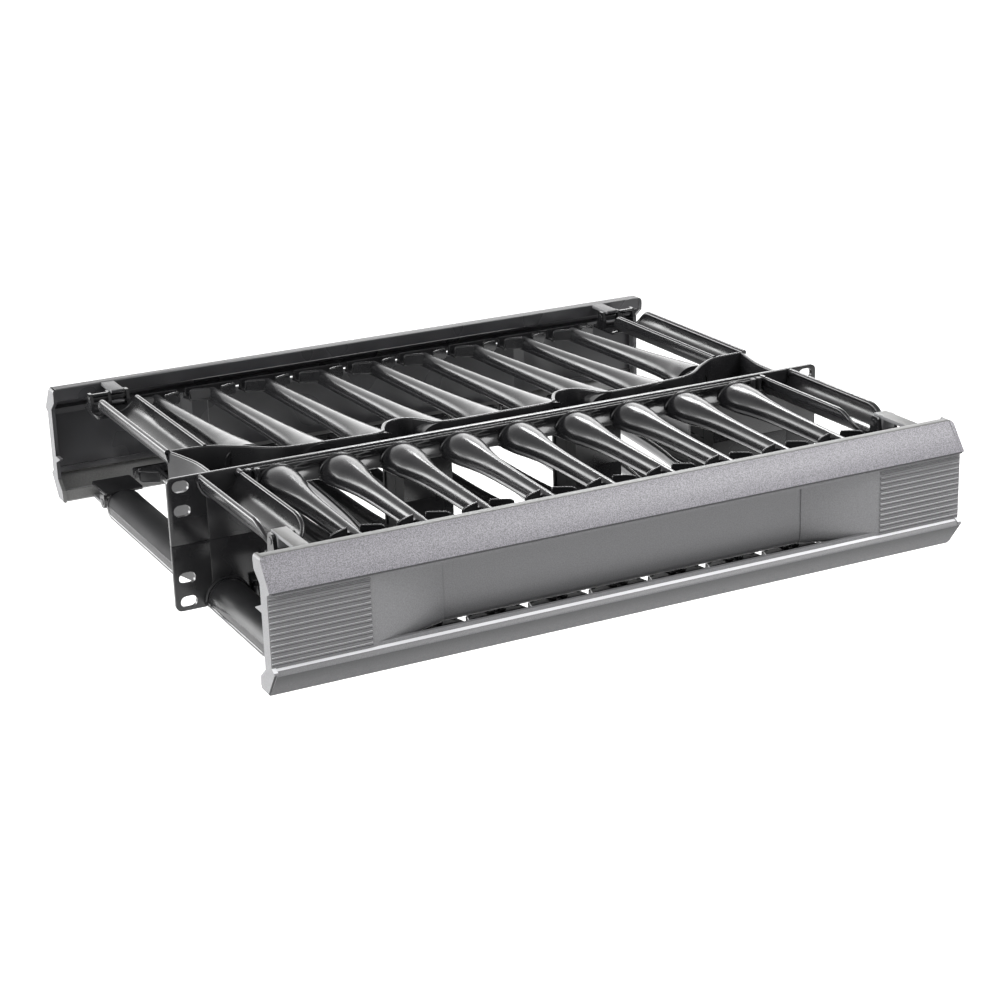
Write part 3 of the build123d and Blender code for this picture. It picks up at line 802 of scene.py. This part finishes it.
bpy.ops.mesh.primitive_plane_add(size=16, location=(0, 0, -0.42))
floor = bpy.context.object
floor.name = "floor"
m, nt, b = nodes("pale_floor")
b.inputs["Base Color"].default_value = (0.97, 0.97, 0.97, 1)
b.inputs["Roughness"].default_value = 0.7
b.inputs["Emission Color"].default_value = (1, 1, 1, 1)
b.inputs["Emission Strength"].default_value = 0.35
dress(floor, m)

w = bpy.data.worlds.new("world")
bpy.context.scene.world = w
w.use_nodes = True
nt = w.node_tree
bg = nt.nodes["Background"]
tc = nt.nodes.new("ShaderNodeTexCoord")
sep = nt.nodes.new("ShaderNodeSeparateXYZ")
nt.links.new(tc.outputs["Generated"], sep.inputs["Vector"])


def world_range(src, lo, hi, a, b):
    r = nt.nodes.new("ShaderNodeMapRange")
    r.interpolation_type = "SMOOTHSTEP"
    for key, v in (("From Min", lo), ("From Max", hi), ("To Min", a), ("To Max", b)):
        r.inputs[key].default_value = v
    nt.links.new(src, r.inputs["Value"])
    return r.outputs["Result"]


def world_math(op, x, y):
    n = nt.nodes.new("ShaderNodeMath")
    n.operation = op
    for i, v in enumerate((x, y)):
        if isinstance(v, (int, float)):
            n.inputs[i].default_value = v
        else:
            nt.links.new(v, n.inputs[i])
    return n.outputs[0]


# a bright backdrop low behind and to the right, a softer one to the left, dimmer overhead and in front
back = world_range(sep.outputs["Y"], 0.0, 0.8, 0.0, 1.0)
low = world_range(sep.outputs["Z"], 0.28, 0.58, 1.0, 0.0)
right = world_range(sep.outputs["X"], -0.35, 0.30, 0.22, 1.0)
glow = world_math("MULTIPLY", world_math("MULTIPLY", world_math("MULTIPLY", back, low), right), 2.6)
left = world_math("MULTIPLY", world_range(sep.outputs["X"], -0.35, -0.9, 0.0, 1.0), 1.0)
edge = world_range(sep.outputs["Z"], 0.24, 0.36, 1.0, 0.0)
far_left = world_range(sep.outputs["X"], -0.25, -0.45, 0.0, 1.0)
side = world_range(sep.outputs["X"], -0.86, -0.76, 0.0, 1.0)
line = world_math("MULTIPLY", world_math("MULTIPLY", world_math("MULTIPLY", world_math("MULTIPLY", back, edge), side), far_left), 9.0)
total = world_math("ADD", world_math("ADD", world_math("ADD", glow, left), line), 0.46)
bg.inputs["Color"].default_value = (1, 1, 1, 1)
nt.links.new(total, bg.inputs["Strength"])


def area(name, loc, target, size, size_y, power):
    l = bpy.data.lights.new(name, "AREA")
    l.shape = "RECTANGLE"
    l.size, l.size_y, l.energy = size, size_y, power
    o = bpy.data.objects.new(name, l)
    bpy.context.scene.collection.objects.link(o)
    o.location = loc
    o.rotation_euler = (Vector(target) - Vector(loc)).to_track_quat("-Z", "Y").to_euler()
    return o


area("top_right", (0.8, 1.2, 1.1), (0, 0, 0), 0.8, 0.3, 16)
area("over_front", (0.80, -0.66, 1.20), (0, -0.1, 0), 0.8, 0.65, 15)
area("left", (-2.2, 0.2, 0.9), (0, 0, 0), 1.4, 1.2, 26)
